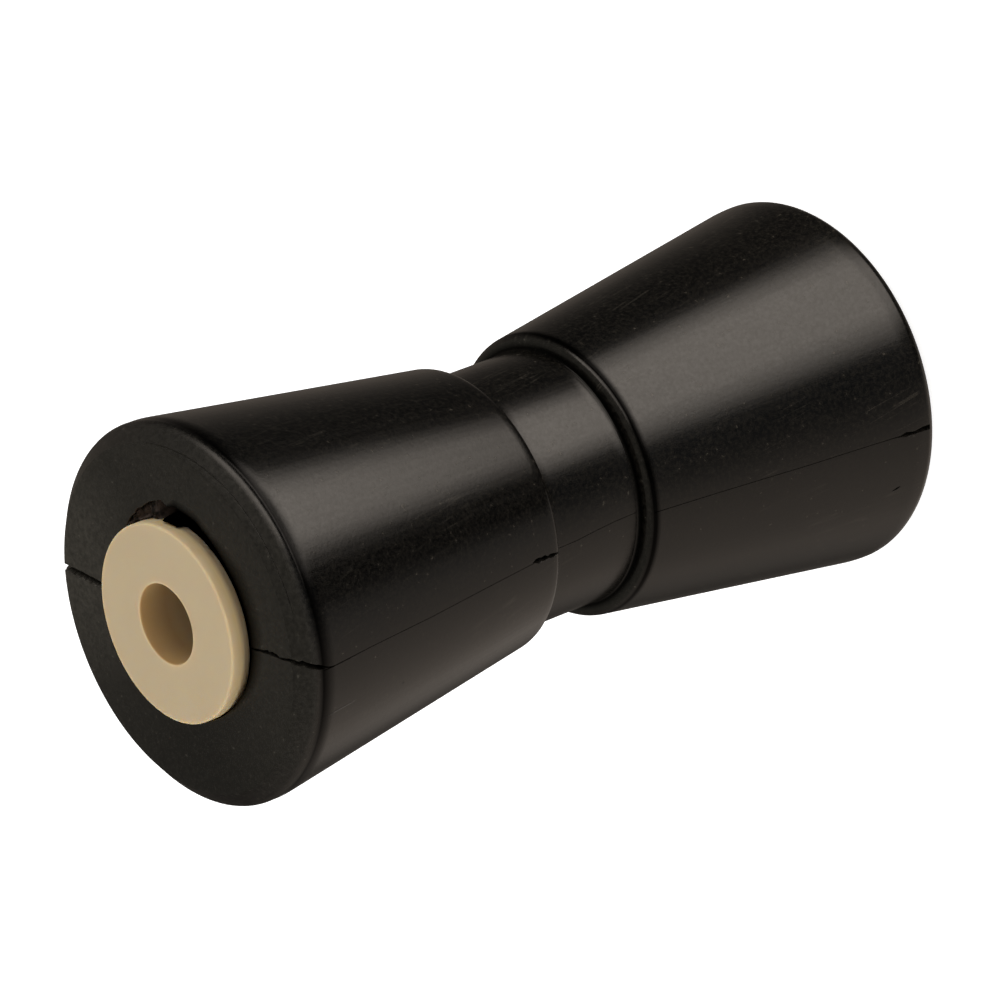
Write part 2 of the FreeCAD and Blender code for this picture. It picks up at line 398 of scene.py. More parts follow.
def on_side(height, turn):
    """Point, outward direction and sideways direction on the side, at an angle in degrees."""
    a = math.radians(turn)
    away = Vector((math.cos(a), math.sin(a), 0))
    point = away * surface_radius(height) + Vector((0, 0, height))
    rise = (surface_radius(height + 0.2) - surface_radius(height - 0.2)) / 0.4
    out = (away - Vector((0, 0, rise))).normalized()
    return point, out, Vector((-math.sin(a), math.cos(a), 0))


def on_face(x, y):
    """The same on the upper end face; the sideways direction is left to the wedge's course."""
    return Vector((x, y, FACE)), Vector((0, 0, 1)), None


# %% Wedges along a course
CLEAR = 0.5  # how far a wedge stands out of the surface, so that its cut is open


def wedge(name, stations):
    """Closed wedge through stations: place on the surface, width and depth in mm."""
    bpy.ops.object.select_all(action="DESELECT")
    bpy.ops.mesh.primitive_circle_add(vertices=3, radius=MM, fill_type="NGON")
    tool = bpy.context.object
    tool.name = name
    bpy.ops.object.mode_set(mode="EDIT")
    bpy.ops.mesh.select_all(action="SELECT")
    for number, ((point, out, sideways), width, depth) in enumerate(stations):
        if number:
            bpy.ops.mesh.extrude_region_move()
        if sideways is None:
            before = stations[max(number - 1, 0)][0][0]
            after = stations[min(number + 1, len(stations) - 1)][0][0]
            sideways = out.cross(after - before).normalized()
        half_top = sideways * width / 2 * (depth + CLEAR) / depth
        corners = (point + out * CLEAR + half_top, point + out * CLEAR - half_top, point - out * depth)
        shape = bmesh.from_edit_mesh(tool.data)
        for vertex, corner in zip([v for v in shape.verts if v.select], corners):
            vertex.co = corner * MM + Vector((0, 0, middle))
        bmesh.update_edit_mesh(tool.data)
    bpy.ops.mesh.select_all(action="SELECT")
    bpy.ops.mesh.normals_make_consistent(inside=False)
    bpy.ops.object.mode_set(mode="OBJECT")
    return tool


# %% Courses of the lines and cracks
# Mould line: height from the middle and its angle, which wanders a little from half to half
LINE_WIDTH, LINE_DEPTH = 0.16, 0.35
LINE_COURSES = {
    "upper": ((96, 0.5), (80, 0.7), (60, 0.4), (40, 0.8), (24, 1.0)),
    "neck": ((12.6, -1.6), (6, -1.3), (0, -0.2), (-6, 0.6), (-13.0, 0.9)),
    "lower": ((-15.5, 1.2), (-35, 1.4), (-60, 1.3), (-80, 1.6), (-96, 1.6)),
}
tools = []
for part, course in LINE_COURSES.items():
    for side, turn in (("near", 0), ("back", 180)):
        places = [on_side(height, turn + shift) for height, shift in course]
        tools.append(wedge(f"line_{part}_{side}", [(place, LINE_WIDTH, LINE_DEPTH) for place in places]))

# Cracks: on the end face x, y, width, depth; then on the shoulder height, angle, width, depth
CRACKS = {
    "crack_right": ((
        (26.6, 1.5, 0.4, 1.2), (28.2, 1.8, 0.45, 1.4), (29.4, 1.9, 0.6, 1.7), (30.9, 2.2, 0.55, 1.7),
        (32.3, 2.3, 0.8, 2.0), (33.8, 2.7, 1.1, 2.4), (34.6, 2.5, 0.85, 2.2), (35.4, 2.8, 1.15, 2.4),
        (37.0, 2.7, 0.95, 2.2), (38.1, 2.5, 0.6, 1.8), (39.9, 2.8, 0.65, 1.8), (41.7, 3.2, 0.85, 2.0),
    ), (
        (101.2, 3.9, 1.3, 2.4), (100.6, 3.3, 1.15, 2.4), (100.0, 3.5, 1.5, 2.6), (99.5, 3.0, 1.35, 2.5),
        (98.9, 2.6, 1.45, 2.4), (98.1, 2.3, 1.2, 2.2), (97.1, 1.9, 1.2, 2.0), (96.3, 1.6, 0.9, 1.5),
        (95.4, 1.3, 0.4, 0.8), (94.5, 0.9, 0.3, 0.5), (93.5, 0.7, 0.2, 0.35), (91.8, 0.6, 0.15, 0.3),
        (89.8, 0.6, 0.14, 0.3), (87.5, 0.4, 0.1, 0.2),
    )),
    "crack_left": ((
        (-24.0, 0.1, 1.0, 2.0), (-27.0, 0.2, 1.5, 2.6), (-28.4, 0.0, 2.0, 2.8), (-29.6, 0.3, 1.6, 2.6),
        (-30.4, 0.1, 2.1, 2.8), (-31.6, 0.4, 1.7, 2.6), (-32.7, 0.2, 2.0, 2.8), (-33.8, 0.5, 1.5, 2.6),
        (-34.8, 0.3, 2.0, 2.8), (-35.9, 0.6, 1.6, 2.6), (-36.9, 0.3, 2.1, 2.8), (-38.2, 0.6, 1.7, 2.8),
        (-39.4, 0.3, 2.1, 2.8), (-40.4, 0.6, 1.6, 2.6), (-41.6, 0.5, 1.8, 2.6),
    ), (
        (101.1, 179.6, 1.7, 2.5), (100.3, 180.4, 1.5, 2.2), (99.4, 181.1, 1.3, 1.9), (98.2, 181.5, 0.9, 1.3),
        (96.5, 181.6, 0.4, 0.6),
    )),
}
for name, (face_course, side_course) in CRACKS.items():
    stations = [(on_face(x, y), width, depth) for x, y, width, depth in face_course]
    stations += [(on_side(height, turn), width, depth) for height, turn, width, depth in side_course]
    tools.append(wedge(name, stations))

# A fine line creeps up the shoulder; it runs round, so its sideways direction comes from its course
SHOULDER_LINE_WIDTH, SHOULDER_LINE_DEPTH = 0.3, 0.12
stations = []
for turn in range(100, 18, -3):
    point, out, _ = on_side(float(np.interp(turn, (20, 60, 100), (100.1, 100.4, 101.3))), turn)
    stations.append(((point, out, None), SHOULDER_LINE_WIDTH, SHOULDER_LINE_DEPTH))
tools.append(wedge("shoulder_line", stations))

# Nicks on the side: height, angle, width, depth
NICKS = {
    "small_end_notch": (
        (24.4, 1.4, 0.2, 0.3), (23.4, 1.5, 1.0, 1.0), (22.2, 1.1, 1.6, 1.4), (21.2, 1.0, 1.1, 1.2),
        (20.0, 1.0, 1.4, 1.3), (19.0, 0.7, 0.6, 0.9), (18.0, 0.6, 1.15, 1.1), (16.8, 0.3, 1.05, 1.0),
        (15.6, 0.3, 0.5, 0.6), (14.6, 0.2, 0.15, 0.2),
    ),
    "rim_crease": (
        (94.6, -14.7, 0.15, 0.15), (91.5, -14.6, 0.3, 0.25), (88, -14.7, 0.25, 0.2), (85, -14.5, 0.1, 0.1),
    ),
    "pinhole": ((68.9, -18.8, 0.1, 0.1), (68.5, -18.7, 0.55, 0.6), (68.1, -18.7, 0.1, 0.1)),
    "far_crack": (
        (-87, 1.4, 0.15, 0.15), (-89.5, 1.6, 1.3, 1.0), (-92, 1.4, 0.8, 0.9), (-94.5, 1.7, 1.2, 1.1),
        (-97, 1.6, 1.2, 1.2),
    ),
    "far_tick": ((-86.8, -17.4, 0.2, 0.3), (-87.9, -16.8, 0.7, 1.4), (-89.0, -16.3, 0.2, 0.3)),
}
for name, course in NICKS.items():
    tools.append(wedge(name, [(on_side(height, turn), width, depth) for height, turn, width, depth in course]))
print(len(tools), "wedges")

# %% Cut them out of the rubber
before = len(rubber.data.polygons)
bpy.ops.object.select_all(action="DESELECT")
rubber.select_set(True)
bpy.context.view_layer.objects.active = rubber
for tool in tools:
    cut = rubber.modifiers.new(tool.name, "BOOLEAN")
    cut.operation = "DIFFERENCE"
    cut.solver = "MANIFOLD"
    cut.object = tool
    bpy.ops.object.modifier_apply(modifier=tool.name)
    bpy.data.objects.remove(tool)
bpy.ops.object.shade_smooth_by_angle(angle=SMOOTH_ANGLE)
print("faces", before, "->", len(rubber.data.polygons))

# %% [markdown]
# ## The bushings
# Each bushing is a tube with a thick flange, turned from cream nylon. The flange's edge and the bore's
# mouth are softly rounded on the real piece, which decides how they catch the light, so both corners are
# bevelled in the section before it is spun. The two are the same piece turned round, each with a mesh
# of its own.

# %% Turn a bushing
BORE_R = 9.8
BARREL_R = 14.9
FLANGE_R = 24.35
FLANGE_PROUD = 3.1
FLANGE_SINK = 2.0
BARREL_LENGTH = 44.5
BUSHING_STEPS = 192


def turn_bushing(name, up):
    """One bushing in its seat; up is 1 for the upper end and -1 for the lower."""
    top = FLANGE_SINK + FLANGE_PROUD
    piece = start_section(name, BORE_R, top)
    draw_to([
        (FLANGE_R, top, 8),
        (FLANGE_R, 0, 4),
        (BARREL_R, 0, 1),
        (BARREL_R, -BARREL_LENGTH, 1),
        (BORE_R, -BARREL_LENGTH, 1),
        (BORE_R, top, 12),
    ], start=(BORE_R, top))
    bpy.ops.mesh.select_all(action="SELECT")
    bpy.ops.mesh.remove_doubles(threshold=0.001 * MM)
    round_corner(piece, FLANGE_R, top, 90, 0.5, 5)
    round_corner(piece, BORE_R, top, 90, 0.45, 4)
    round_corner(piece, BARREL_R, -BARREL_LENGTH, 90, 0.9, 3)
    spin_section(BUSHING_STEPS)
    if up < 0:
        bpy.ops.transform.resize(value=(1, 1, -1), center_override=(0, 0, 0))
        bpy.ops.mesh.normals_make_consistent(inside=False)
    seat = middle + up * (half_length - FLANGE_SINK * MM)
    bpy.ops.transform.translate(value=(0, 0, seat))
    bpy.ops.object.mode_set(mode="OBJECT")
    bpy.ops.object.shade_smooth_by_angle(angle=SMOOTH_ANGLE)
    return piece


upper_bushing = turn_bushing("upper_flanged_bushing", 1)
lower_bushing = turn_bushing("lower_flanged_bushing", -1)
print("bushing has", len(upper_bushing.data.polygons), "faces")

# %% [markdown]
# ## The rubber's finish
# Moulded black rubber is nearly black with a satin skin. It isn't even: fine streaks run along the
# cones where the mould was polished, a film of dust and bloom makes it browner in patches, and light
# scratches and single specks of lint lie on it. The end face is duller than the sides. Shade is painted
# into the skin in the open recess and beside it, in the hollow behind the upper rim, in the neck's
# corners and in a narrow ring round the lower cone's small end: there its colour and its specular level
# fall to nearly black. The streaks need coordinates that run round the axis and along it, so the angle
# is worked out from Object coordinates in the material.

# %% Helpers for materials
def new_material(name):
    """Empty node material with its shader and output; returns the material, its tree and shader."""
    material = bpy.data.materials.new(name)
    material.use_nodes = True
    tree = material.node_tree
    shader = tree.nodes["Principled BSDF"]
    return material, tree, shader


def value_of(tree, kind, *inputs, **settings):
    """Add a node, set its properties, and feed its inputs in order with numbers or other outputs."""
    node = tree.nodes.new(kind)
    for key, value in settings.items():
        setattr(node, key, value)
    for socket, source in zip(node.inputs, inputs):
        if isinstance(source, bpy.types.NodeSocket):
            tree.links.new(source, socket)
        elif source is not None:
            socket.default_value = source
    return node.outputs[0]


def math_node(tree, operation, *inputs):
    """One sum on numbers or other outputs."""
    return value_of(tree, "ShaderNodeMath", *inputs, operation=operation)


def place_parts(tree, kind="Object"):
    """Texture coordinates of one kind, followed by their X, Y and Z."""
    place = tree.nodes.new("ShaderNodeTexCoord").outputs[kind]
    parts = tree.nodes.new("ShaderNodeSeparateXYZ")
    tree.links.new(place, parts.inputs[0])
    return place, *parts.outputs


def distance_from_axis(tree, x, y):
    """How far a point is from the roller's axis."""
    squares = [math_node(tree, "MULTIPLY", side, side) for side in (x, y)]
    return math_node(tree, "SQRT", math_node(tree, "ADD", *squares))


def noise_value(tree, vector, scale, detail=2.0, roughness=0.5):
    """Grey noise on the given coordinates."""
    node = tree.nodes.new("ShaderNodeTexNoise")
    tree.links.new(vector, node.inputs["Vector"])
    node.inputs["Scale"].default_value = scale
    node.inputs["Detail"].default_value = detail
    node.inputs["Roughness"].default_value = roughness
    return node.outputs["Fac"]


def ramp(tree, value, stops):
    """Colour ramp through stops of position and colour."""
    node = tree.nodes.new("ShaderNodeValToRGB")
    tree.links.new(value, node.inputs["Fac"])
    elements = node.color_ramp.elements
    while len(elements) < len(stops):
        elements.new(0.5)
    for element, (position, colour) in zip(elements, stops):
        element.position = position
        element.color = (*colour, 1.0)
    return node.outputs["Color"]


def range_share(tree, value, start, end, low=0.0, high=1.0):
    """Map a value from start..end to low..high, held at both ends."""
    node = tree.nodes.new("ShaderNodeMapRange")
    tree.links.new(value, node.inputs["Value"])
    node.inputs["From Min"].default_value = start
    node.inputs["From Max"].default_value = end
    node.inputs["To Min"].default_value = low
    node.inputs["To Max"].default_value = high
    return node.outputs["Result"]


def blend_values(tree, share, first, second):
    """Blend two numbers by a share."""
    node = tree.nodes.new("ShaderNodeMix")
    for name, source in (("Factor", share), ("A", first), ("B", second)):
        if isinstance(source, bpy.types.NodeSocket):
            tree.links.new(source, node.inputs[name])
        else:
            node.inputs[name].default_value = source
    return node.outputs["Result"]


def blend_colours(tree, share, first, second):
    """Blend two colours by a share; the second may be a fixed colour."""
    node = tree.nodes.new("ShaderNodeMix")
    node.data_type = "RGBA"
    share_socket, first_socket, second_socket = (node.inputs[number] for number in (0, 6, 7))
    tree.links.new(share, share_socket)
    tree.links.new(first, first_socket)
    if isinstance(second, bpy.types.NodeSocket):
        tree.links.new(second, second_socket)
    else:
        second_socket.default_value = (*second, 1.0)
    return node.outputs[2]


def add_tinted(tree, base, amount, tint):
    """Add an amount of a tint to a base colour."""
    node = tree.nodes.new("ShaderNodeVectorMath")
    node.operation = "MULTIPLY_ADD"
    tree.links.new(amount, node.inputs[0])
    node.inputs[1].default_value = tint
    tree.links.new(base, node.inputs[2])
    return node.outputs["Vector"]


# %% Rubber material
rubber_material, tree, shader = new_material("satin_black_rubber")
place, x, y, z = place_parts(tree)
turn = math_node(tree, "ARCTAN2", y, x)
out = distance_from_axis(tree, x, y)
height = math_node(tree, "ABSOLUTE", math_node(tree, "SUBTRACT", z, middle))
streak_place = value_of(tree, "ShaderNodeCombineXYZ", math_node(tree, "MULTIPLY", turn, 30.0),
                        math_node(tree, "MULTIPLY", z, 20.0), 0.0)
streaks = noise_value(tree, streak_place, 1.0, 4.0, 0.6)
blotches = noise_value(tree, place, 28.0, 4.0, 0.55)
grain = noise_value(tree, place, 900.0, 3.0, 0.6)
print("rubber patterns follow the angle and the height")

# %% [markdown]
# Beside the flange, shade is painted into the rubber: in the open gap and next to it, its colour and
# specular level fade to nearly black, and that painted shade follows the gap. The gap's course comes back
# here as a ramp over the angle, so the painted shade can't slip away from the shape. Where the rubber was
# ripped, the same measure tells the torn lumps from the skin around them.

# %% How far a point is from the open recess
turn_share = range_share(tree, turn, -math.pi, math.pi)
WIDEST = 6.0  # a ramp's colours run from 0 to 1, so it holds each width as a share of this one, in mm
course_stops = [((angle_here + 180) / 360, (width / WIDEST,) * 3) for angle_here, width in GAP_COURSE]
gap_width = math_node(tree, "MULTIPLY", ramp(tree, turn_share, course_stops), WIDEST * MM)
beyond = math_node(tree, "SUBTRACT", math_node(tree, "SUBTRACT", out, RECESS_R * MM), gap_width)
shorter = range_share(tree, turn, math.radians(38), math.radians(60), 1.5, 0.5)
ended = range_share(tree, turn, math.radians(86), math.radians(94), 1.0, 0.05)
reach = math_node(tree, "MULTIPLY", math_node(tree, "MULTIPLY", gap_width, shorter), ended)
# Painted shade: 0 in the gap and at its edge, rising to 1 at its reach beyond; it darkens colour and specular
# level
painted_gap_shade = math_node(tree, "DIVIDE", beyond, math_node(tree, "ADD", reach, 0.05 * MM))
painted_gap_shade = range_share(tree, painted_gap_shade, 0.0, 1.0)
lower_down = range_share(tree, z, middle + half_length - 9 * MM, middle + half_length - 12 * MM)
unshaded_share = math_node(tree, "MAXIMUM", math_node(tree, "POWER", painted_gap_shade, 1.3), lower_down)
torn_range = math_node(tree, "MULTIPLY", range_share(tree, turn, math.radians(97), math.radians(99)),
                       range_share(tree, turn, math.radians(137), math.radians(134)))
torn_share = math_node(tree, "MULTIPLY", torn_range, range_share(tree, beyond, 0.4 * MM, -0.2 * MM))
torn_share = math_node(tree, "MULTIPLY", torn_share, math_node(tree, "SUBTRACT", 1.0, lower_down))

# %% [markdown]
# Two numbers make the shine of a skin. The specular level says how much of the room it mirrors, and the
# roughness says how blurred that picture is. The parts in painted shade get next to no specular level. On
# the rest, the film lets it vary a little from point to point, and the streaks vary the roughness.

# %% Rings of painted shade behind the rim, at the small end and in the neck's corners
def painted_shade_ring(along, start, darkest_from, darkest_to, end, least):
    """Painted shade: 1 away from a ring, least within it, and even slopes between; all places in mm."""
    before = range_share(tree, along, start * MM, darkest_from * MM, 1.0, least)
    after = range_share(tree, along, darkest_to * MM, end * MM, least, 1.0)
    return math_node(tree, "MAXIMUM", before, after)


# Painted shade that darkens colour and specular level: behind the upper rim, round the lower cone's small end
# and in both neck corners
behind_rim = painted_shade_ring(math_node(tree, "SUBTRACT", middle + half_length, z), 4.2, 5.3, 5.6, 9.2, 0.12)
small_end = painted_shade_ring(math_node(tree, "SUBTRACT", middle, z), 14.7, 15.4, 16.1, 17.4, 0.10)
neck_corner = math_node(tree, "MAXIMUM", painted_shade_ring(height, 12.9, 13.7, 14.2, 15.5, 0.10),
                        range_share(tree, out, 32.6 * MM, 34.4 * MM, 0.0, 1.0))
for shade_ring in (behind_rim, small_end, neck_corner):
    unshaded_share = math_node(tree, "MULTIPLY", unshaded_share, shade_ring)

# %% Gloss of the skin
# The moulded sides are glossier than the end faces, and torn rubber is dull
end_share = range_share(tree, height, half_length - 4.6 * MM, half_length - 3.4 * MM)
side_gloss = range_share(tree, streaks, 0.3, 0.7, 0.17, 0.24)
end_gloss = range_share(tree, grain, 0.3, 0.7, 0.33, 0.45)
skin_gloss = blend_values(tree, end_share, side_gloss, end_gloss)
tree.links.new(blend_values(tree, torn_share, skin_gloss, 0.75), shader.inputs["Roughness"])
shine = math_node(tree, "MAXIMUM", unshaded_share, math_node(tree, "MULTIPLY", torn_share, 0.6))
mottle = noise_value(tree, place, 1000.0, 4.0, 0.7)
filmed = range_share(tree, mottle, 0.36, 0.64, 0.58, 0.42)
tree.links.new(math_node(tree, "MULTIPLY", shine, filmed), shader.inputs["Specular IOR Level"])

# %% [markdown]
# A black surface shows every bit of dust. The dust here is a pale colour added to the black in small
# shares: a bloom that follows the film's mottle, specks of lint, a few long scratches that run aslant
# round the cones, and a thin powder on the end faces. On the end faces more of the same pale colour
# paints light on one side, and less of it paints shade on another.

# %% Dust, lint and scratches
film = ramp(tree, blotches, [(0.3, (0.0004, 0.0003, 0.0002)), (0.7, (0.0018, 0.0015, 0.0012))])
bloom = range_share(tree, mottle, 0.42, 0.72, 0.0, 0.0095)
lint = range_share(tree, noise_value(tree, place, 1000.0, 0.0), 0.80, 0.86, 0.0, 0.020)
aslant = math_node(tree, "ADD", math_node(tree, "MULTIPLY", turn, 15.0), math_node(tree, "MULTIPLY", z, 55.0))
scratch_place = value_of(tree, "ShaderNodeCombineXYZ", aslant, math_node(tree, "MULTIPLY", z, 14.0), 0.0)
scratch_field = noise_value(tree, scratch_place, 1.0, 1.0)
scratch_line = math_node(tree, "ABSOLUTE", math_node(tree, "SUBTRACT", scratch_field, 0.5))
broken = range_share(tree, noise_value(tree, place, 45.0, 2.0), 0.55, 0.62)
scratches = math_node(tree, "MULTIPLY", range_share(tree, scratch_line, 0.009, 0.003), broken)
scratches = math_node(tree, "MULTIPLY", scratches, range_share(tree, end_share, 1.0, 0.0))
speckle = range_share(tree, grain, 0.35, 0.65, 0.6, 1.4)


def patch(x_mm, y_mm, reach_mm):
    """Soft round patch on the end faces: 1 at its middle and 0 at its reach."""
    beside = value_of(tree, "ShaderNodeCombineXYZ", x, y, 0.0)
    gone = tree.nodes.new("ShaderNodeVectorMath")
    gone.operation = "DISTANCE"
    tree.links.new(beside, gone.inputs[0])
    gone.inputs[1].default_value = (x_mm * MM, y_mm * MM, 0)
    return range_share(tree, gone.outputs["Value"], reach_mm * MM, reach_mm * 0.3 * MM)


# %% Colour and grain of the rubber
# Painted light: a pale patch on one side of the end faces; painted shade: a darker patch on another; the even
# powder is real dust
painted_light_patch = math_node(tree, "MULTIPLY", patch(-38, 4, 32), 0.014)
painted_shade_patch = math_node(tree, "MULTIPLY", patch(6, -42, 44), 0.0065)
dust_and_painted_light = math_node(tree, "SUBTRACT", math_node(tree, "ADD", painted_light_patch, 0.0055), painted_shade_patch)
pale = math_node(tree, "MULTIPLY", math_node(tree, "MULTIPLY", dust_and_painted_light, end_share), speckle)
pale = math_node(tree, "ADD", pale, math_node(tree, "ADD", bloom, lint))
pale = math_node(tree, "ADD", pale, math_node(tree, "MULTIPLY", scratches, 0.012))
crumbs = range_share(tree, noise_value(tree, place, 420.0, 3.0, 0.6), 0.40, 0.60, 0.05, 1.6)
torn_skin = math_node(tree, "MULTIPLY", math_node(tree, "MULTIPLY", torn_share, crumbs), 0.017)
# In the painted shade the pale colours fade out as well
pale = math_node(tree, "MULTIPLY", pale, unshaded_share)
shaded_film = tree.nodes.new("ShaderNodeVectorMath")
shaded_film.operation = "SCALE"
tree.links.new(film, shaded_film.inputs[0])
tree.links.new(unshaded_share, shaded_film.inputs["Scale"])
DUST_AND_LIGHT_TINT = (1.12, 1.0, 0.80)
TORN_TINT = (1.45, 0.95, 0.72)
dusted_and_lit = add_tinted(tree, shaded_film.outputs["Vector"], pale, DUST_AND_LIGHT_TINT)
tree.links.new(add_tinted(tree, dusted_and_lit, torn_skin, TORN_TINT), shader.inputs["Base Color"])
side_skin = math_node(tree, "MULTIPLY", streaks, math_node(tree, "SUBTRACT", 1.0, end_share))
skin = math_node(tree, "MULTIPLY", side_skin, 0.6)
for pattern, strength in ((grain, 0.4), (mottle, 0.8)):
    skin = math_node(tree, "ADD", skin, math_node(tree, "MULTIPLY", pattern, strength))
bump = tree.nodes.new("ShaderNodeBump")
bump.inputs["Strength"].default_value = 0.22
bump.inputs["Distance"].default_value = 0.1 * MM
tree.links.new(skin, bump.inputs["Height"])
tree.links.new(bump.outputs["Normal"], shader.inputs["Normal"])
rubber.data.materials.clear()
rubber.data.materials.append(rubber_material)

# %% [markdown]
# ## The nylon's finish
# Cast nylon is cream, slightly translucent and faintly mottled, with a dry sheen. The bore is discoloured
# by its shaft and darkened by painted shade, and painted light makes it lighter deeper in. The flange's
# turned edge is painted darker and warmer towards the rubber, where shade falls, and a darker painted
# shade sits at its foot.

# %% Nylon material
nylon_material, tree, shader = new_material("cream_nylon")
place, x, y, z = place_parts(tree)
mottle = noise_value(tree, place, 60.0, 4.0, 0.6)
cream = ramp(tree, mottle, [(0.3, (0.565, 0.455, 0.298)), (0.7, (0.585, 0.475, 0.312))])
out = distance_from_axis(tree, x, y)
bore_share = range_share(tree, out, (BORE_R + 0.2) * MM, (BORE_R + 0.02) * MM)
from_middle = math_node(tree, "ABSOLUTE", math_node(tree, "SUBTRACT", z, middle))
inward = range_share(tree, from_middle, half_length + 1.0 * MM, half_length - 11.0 * MM)
# The bore's colour: discoloured and in painted shade at the mouth, and painted lighter deeper in
stain_shade_and_light = ramp(tree, inward, [(0.0, (0.33, 0.21, 0.088)), (0.45, (0.36, 0.24, 0.120)), (1.0, (0.66, 0.53, 0.34))])
with_bore_colour = blend_colours(tree, bore_share, cream, stain_shade_and_light)

# Painted shade: the flange's side turns darker and warmer towards the rubber
PAINTED_SIDE_SHADE = (0.46, 0.35, 0.19)
on_edge = range_share(tree, out, (FLANGE_R - 0.35) * MM, (FLANGE_R - 0.05) * MM)
towards_rubber = range_share(tree, from_middle, half_length + 2.7 * MM, half_length + 0.8 * MM, 0.2, 1.0)
edge_share = math_node(tree, "MULTIPLY", on_edge, towards_rubber)
side_shaded = blend_colours(tree, edge_share, with_bore_colour, PAINTED_SIDE_SHADE)

# Painted shade at the flange's foot, where it meets the rubber
FOOT_SHADE = (0.27, 0.20, 0.12)
at_foot = range_share(tree, from_middle, half_length + 0.5 * MM, half_length - 0.8 * MM)
near_edge = range_share(tree, out, (FLANGE_R - 0.4) * MM, (FLANGE_R - 0.2) * MM)
foot_shade_share = math_node(tree, "MULTIPLY", at_foot, near_edge)
tree.links.new(blend_colours(tree, foot_shade_share, side_shaded, FOOT_SHADE), shader.inputs["Base Color"])
shader.inputs["Roughness"].default_value = 0.6
shader.inputs["Subsurface Weight"].default_value = 1.0
shader.inputs["Subsurface Radius"].default_value = (1.0, 0.7, 0.4)
shader.inputs["Subsurface Scale"].default_value = 3.0 * MM
for bushing in (upper_bushing, lower_bushing):
    bushing.data.materials.clear()
    bushing.data.materials.append(nylon_material)

# %% [markdown]
# ## Floor, world and lamps
# The roller stands on a pale floor. In the photograph it lies down, so the light that comes from above
# there comes from beside and below the standing roller here. The floor is therefore seen by the camera
# and takes the roller's shadow, but lets the studio's light through to the rubber. A little light of its
# own keeps it near white, as a lit sheet of paper would be.

# %% Floor
FLOOR_GLOW = 0.75

bpy.ops.object.select_all(action="DESELECT")
bpy.ops.mesh.primitive_plane_add(size=8.0, location=(0, 0, 0))
floor_sheet = bpy.context.object
floor_sheet.name = "studio_floor"
floor_material, tree, shader = new_material("pale_floor")
shader.inputs["Base Color"].default_value = (0.8, 0.8, 0.8, 1)
shader.inputs["Roughness"].default_value = 0.9
shader.inputs["Specular IOR Level"].default_value = 0.0
path = tree.nodes.new("ShaderNodeLightPath")
seen = math_node(tree, "MAXIMUM", path.outputs["Is Camera Ray"],
                 math_node(tree, "MAXIMUM", path.outputs["Is Glossy Ray"], path.outputs["Is Transmission Ray"]))
shader.inputs["Emission Color"].default_value = (1, 1, 1, 1)
tree.links.new(math_node(tree, "MULTIPLY", seen, FLOOR_GLOW), shader.inputs["Emission Strength"])
floor_sheet.data.materials.append(floor_material)
floor_sheet.visible_shadow = False
floor_sheet.visible_glossy = False
floor_sheet.visible_diffuse = False

# %% [markdown]
# Glossy rubber is a dark mirror, and most of what gives it its shape in the photograph is the room: pale
# walls on one side, dark ones on the other. Two ramps round the horizon hold how bright the walls are in
# each direction. The near cone mirrors the lowest directions and takes the first ramp, and everything else
# takes the second. The ceiling is dim. The camera itself sees plain white.

# %% World
world = bpy.data.worlds.new("white_studio")
bpy.context.scene.world = world
world.use_nodes = True
tree = world.node_tree
background = tree.nodes["Background"]
_, x, y, z = place_parts(tree, "Generated")
turn_share = range_share(tree, math_node(tree, "ARCTAN2", y, x), -math.pi, math.pi)


def world_stop(azimuth, brightness, warmth=1.0):
    """One stop of the ring of studio walls: azimuth in degrees and a slightly tinted grey."""
    return (azimuth + 180) / 360, (brightness * warmth, brightness, brightness / warmth)


near_walls = ramp(tree, turn_share, [
    world_stop(-180, 0.16, 1.18),
    world_stop(-157, 0.13, 1.16),
    world_stop(-146, 0.19, 1.14),
    world_stop(-134, 0.19, 1.13),
    world_stop(-120, 0.33, 1.13),
    world_stop(-104, 0.49, 1.14),
    world_stop(-80, 0.42, 1.17),
    world_stop(-58, 0.39, 1.17),
    world_stop(-38, 0.34, 1.16),
    world_stop(-16, 0.28, 1.12),
    world_stop(-5, 0.20, 1.08),
    world_stop(8, 0.015, 0.90),
    world_stop(110, 0.02, 0.95),
    world_stop(140, 0.035, 1.05),
    world_stop(165, 0.11, 1.15),
    world_stop(180, 0.16, 1.18),
])
far_walls = ramp(tree, turn_share, [
    world_stop(-180, 0.12, 1.18),
    world_stop(-157, 0.12, 1.16),
    world_stop(-146, 0.12, 1.14),
    world_stop(-132, 0.06, 1.13),
    world_stop(-118, 0.06, 1.13),
    world_stop(-100, 0.19, 1.14),
    world_stop(-82, 0.34, 1.17),
    world_stop(-45, 0.40, 1.17),
    world_stop(-25, 0.36, 1.16),
    world_stop(-12, 0.24, 1.12),
    world_stop(-4, 0.15, 1.08),
    world_stop(11, 0.07, 0.92),
    world_stop(110, 0.03, 0.95),
    world_stop(140, 0.03, 1.05),
    world_stop(165, 0.08, 1.15),
    world_stop(180, 0.12, 1.18),
])
walls = blend_colours(tree, range_share(tree, z, -0.68, -0.60), near_walls, far_walls)
ceiling = ramp(tree, z, [(0.15, (0.0, 0.0, 0.0)), (0.5, (1.0, 1.0, 1.0))])
overhead = tree.nodes.new("ShaderNodeBackground")
overhead.inputs["Color"].default_value = (0.190, 0.178, 0.150, 1)
ring = tree.nodes.new("ShaderNodeMixShader")
tree.links.new(ceiling, ring.inputs[0])
tree.links.new(background.outputs[0], ring.inputs[1])
tree.links.new(overhead.outputs[0], ring.inputs[2])
tree.links.new(walls, background.inputs["Color"])
white = tree.nodes.new("ShaderNodeBackground")
white.inputs["Color"].default_value = (1, 1, 1, 1)
path = tree.nodes.new("ShaderNodeLightPath")
switch = tree.nodes.new("ShaderNodeMixShader")
